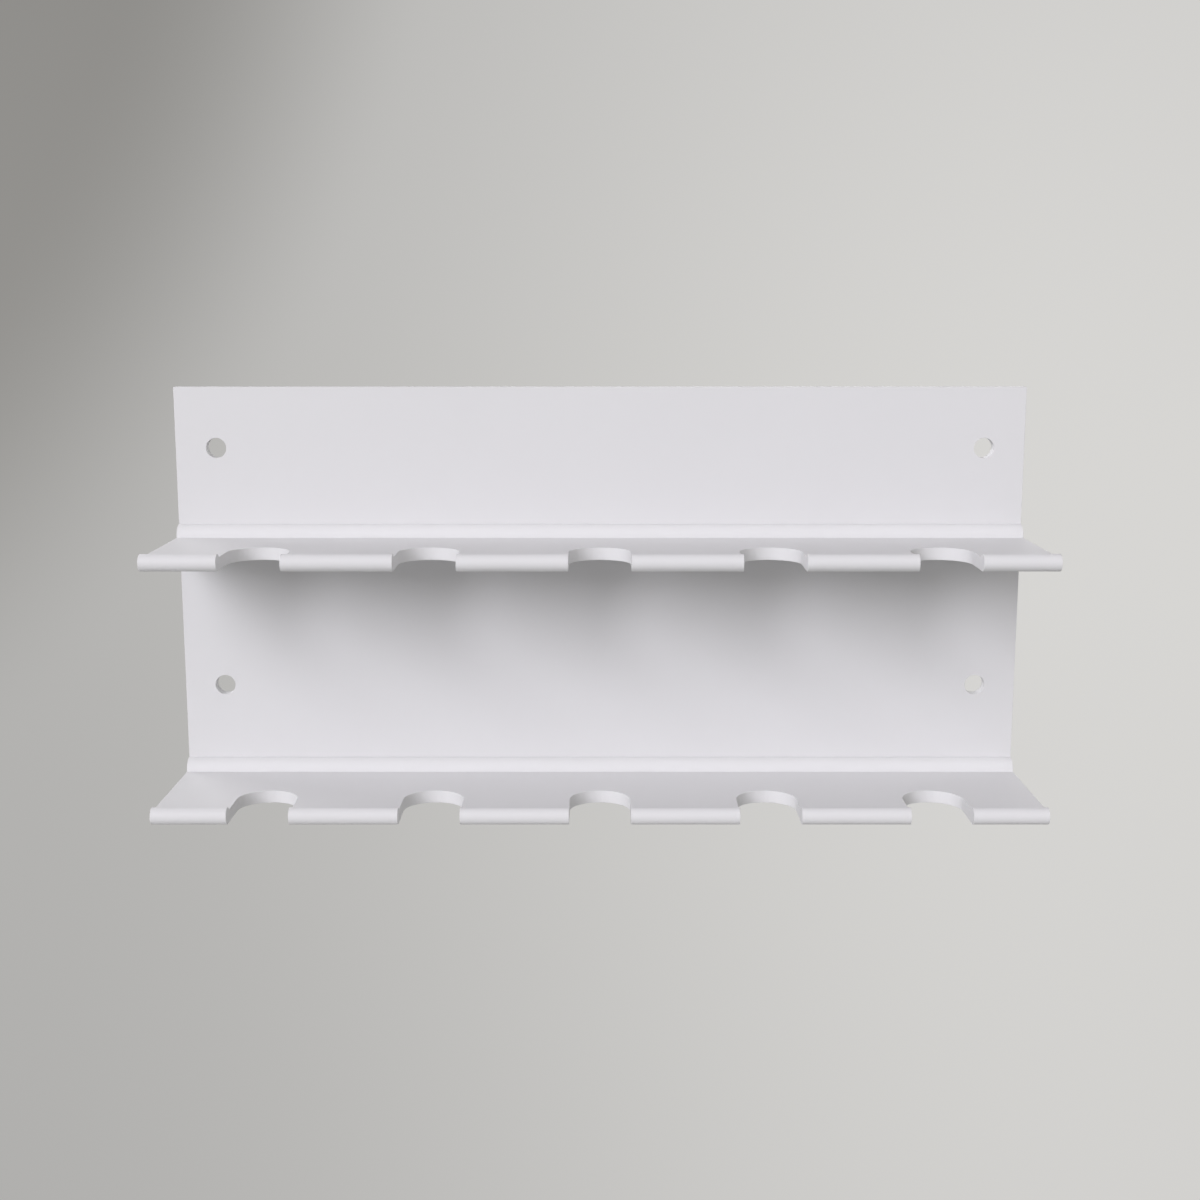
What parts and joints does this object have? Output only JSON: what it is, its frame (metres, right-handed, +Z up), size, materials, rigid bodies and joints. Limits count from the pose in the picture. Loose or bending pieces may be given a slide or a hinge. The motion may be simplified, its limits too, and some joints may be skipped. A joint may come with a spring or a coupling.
{
  "type": "garden tool holder",
  "caption": "Wall rack for long-handled garden tools: a flat back plate carries two shelves, each with a row of U-shaped notches open to the front and a round front lip.",
  "frame": {"origin": "centre of the four wall holes, on the face of the back plate that lies against the wall", "axes": "+X along the rack, to the right as seen from the front, +Y into the wall, +Z up; the notches open towards -Y"},
  "size_m": [0.42, 0.084, 0.2],
  "materials": {
    "white_powder_coat": "satin white powder coat",
    "stainless_steel": "plain bright"
  },
  "bodies": {
    "root": {"back_plate": "white_powder_coat", "lower_shelf": "white_powder_coat", "upper_shelf": "white_powder_coat", "lower_shelf_screws": "stainless_steel", "upper_shelf_screws": "stainless_steel"}
  },
  "joints": []
}
